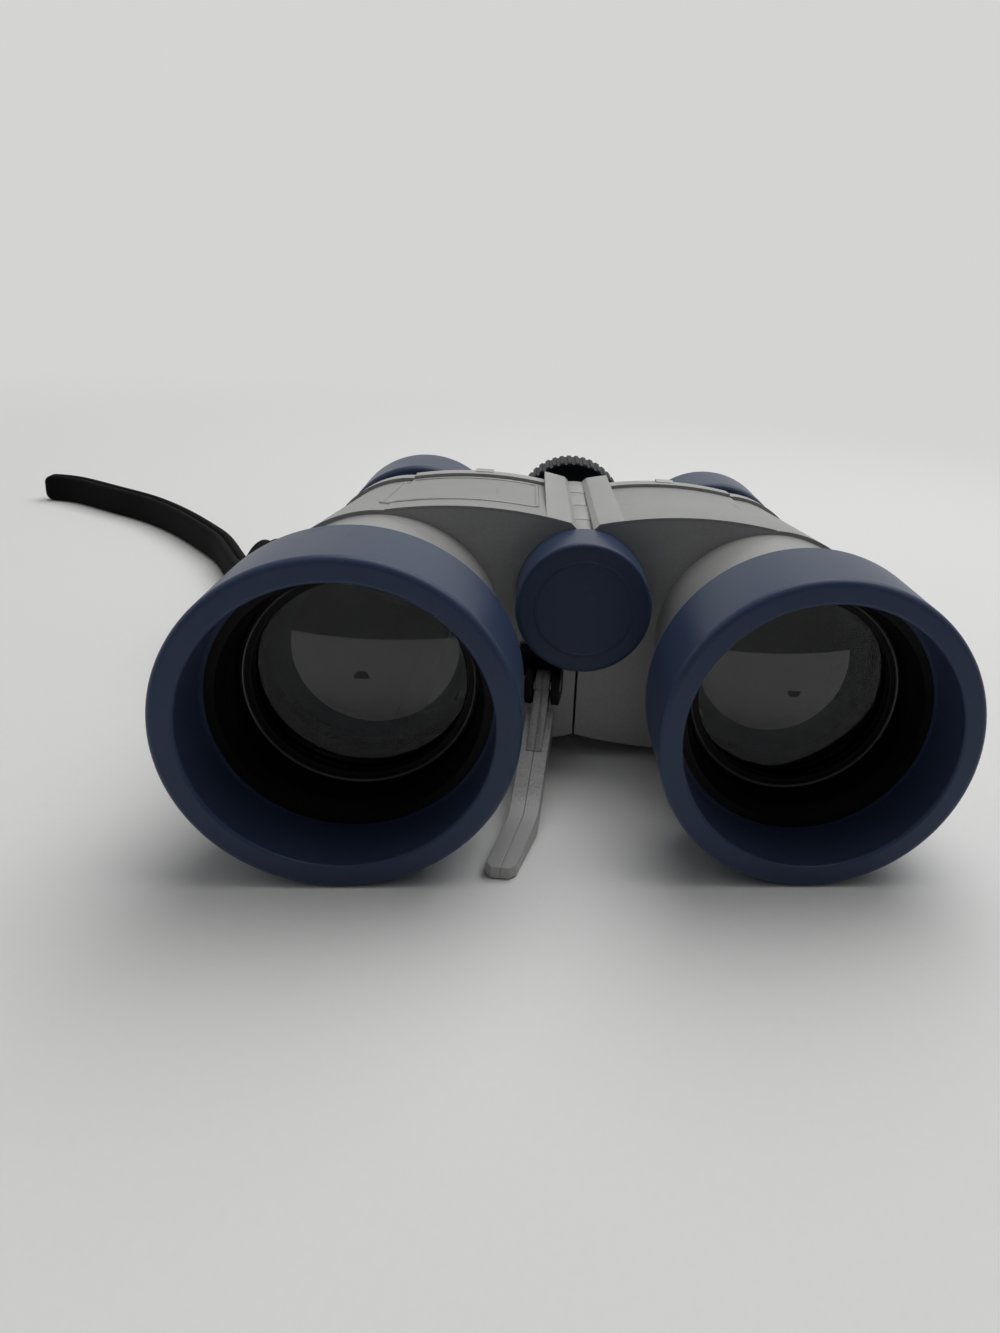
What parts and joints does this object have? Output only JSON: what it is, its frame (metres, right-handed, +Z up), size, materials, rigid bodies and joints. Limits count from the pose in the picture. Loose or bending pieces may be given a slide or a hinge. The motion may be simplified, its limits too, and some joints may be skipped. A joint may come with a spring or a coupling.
{
  "type": "toy binoculars",
  "caption": "Folding toy binoculars with hooded objectives, a focus wheel that slides both eyepieces, a swing-down stand leg and a wrist strap.",
  "frame": {"origin": "middle of the binoculars without the strap, on the surface they stand on", "axes": "+X to the right as seen from the objectives' side, +Y from the objectives to the eyecups, +Z up"},
  "size_m": [0.2206, 0.2117, 0.047],
  "materials": {
    "silver_shell": "silver metallic lacquer on moulded plastic",
    "silver_panel": "silver metallic lacquer, smooth",
    "silver_barrel": "silver metallic lacquer, satin",
    "silver_leg": "silver metallic lacquer, worn at the edges",
    "navy_plastic": "slate navy moulded plastic, satin",
    "wheel_plastic": "dark navy moulded plastic",
    "black_plastic": "black moulded plastic",
    "lens_glass": "clear moulded lens",
    "screw_steel": "plain steel",
    "strap_cord": "black woven webbing"
  },
  "bodies": {
    "left_half": {"left_top_shell": "silver_shell", "left_bottom_shell": "silver_shell", "left_top_panel": "silver_panel", "left_screws": "screw_steel", "left_barrel": "silver_barrel", "left_hood": "navy_plastic", "left_lens_cell": "black_plastic", "left_objective_lens": "lens_glass", "left_lens_ring": "black_plastic", "left_eyepiece_guide": "silver_barrel", "hinge_tube": "screw_steel", "hinge_cap": "navy_plastic", "hinge_cap_disc": "navy_plastic", "leg_bracket": "black_plastic", "leg_pin": "screw_steel", "strap_clamp": "black_plastic", "strap_cord": "strap_cord"},
    "right_half": {"right_top_shell": "silver_shell", "right_bottom_shell": "silver_shell", "right_top_panel": "silver_panel", "right_screws": "screw_steel", "right_barrel": "silver_barrel", "right_hood": "navy_plastic", "right_lens_cell": "black_plastic", "right_objective_lens": "lens_glass", "right_lens_ring": "black_plastic", "right_eyepiece_guide": "silver_barrel"},
    "left_eyepiece": {"left_eyepiece_tube": "silver_barrel", "left_eyecup": "navy_plastic", "left_eye_lens": "lens_glass", "left_eye_ring": "black_plastic", "left_bridge_arm": "silver_shell"},
    "right_eyepiece": {"right_eyepiece_tube": "silver_barrel", "right_eyecup": "navy_plastic", "right_eye_lens": "lens_glass", "right_eye_ring": "black_plastic", "right_bridge_arm": "silver_shell"},
    "focus_wheel": {"focus_wheel": "wheel_plastic", "focus_screw": "screw_steel"},
    "stand_leg": {"leg_inner_half": "silver_leg", "leg_outer_half": "silver_leg"}
  },
  "joints": [
    {"name": "fold", "type": "hinge", "parent": "left_half", "child": "right_half", "pos_m": [0, 0.0069, 0.0313], "axis": [0, 1, 0], "range_deg": [-12, 0]},
    {"name": "left_eyepiece_slide", "type": "slide", "parent": "left_half", "child": "left_eyepiece", "axis": [0, 1, 0], "range_m": [-0.003, 0.003]},
    {"name": "right_eyepiece_slide", "type": "slide", "parent": "right_half", "child": "right_eyepiece", "axis": [0, 1, 0], "range_m": [-0.003, 0.003]},
    {"name": "focus_spin", "type": "hinge", "parent": "left_eyepiece", "child": "focus_wheel", "pos_m": [0, 0.044, 0.0313], "axis": [0, 1, 0], "range_deg": [-180, 180]},
    {"name": "leg_swing", "type": "hinge", "parent": "left_half", "child": "stand_leg", "pos_m": [-0.0058, -0.0209, 0.016], "axis": [0.9925, -0.1219, 0], "range_deg": [-10, 50]}
  ],
  "couplings": [
    {"joint": "left_eyepiece_slide", "follows": "focus_spin", "m_per_rad": 0.00095493},
    {"joint": "right_eyepiece_slide", "follows": "focus_spin", "m_per_rad": 0.00095493}
  ]
}
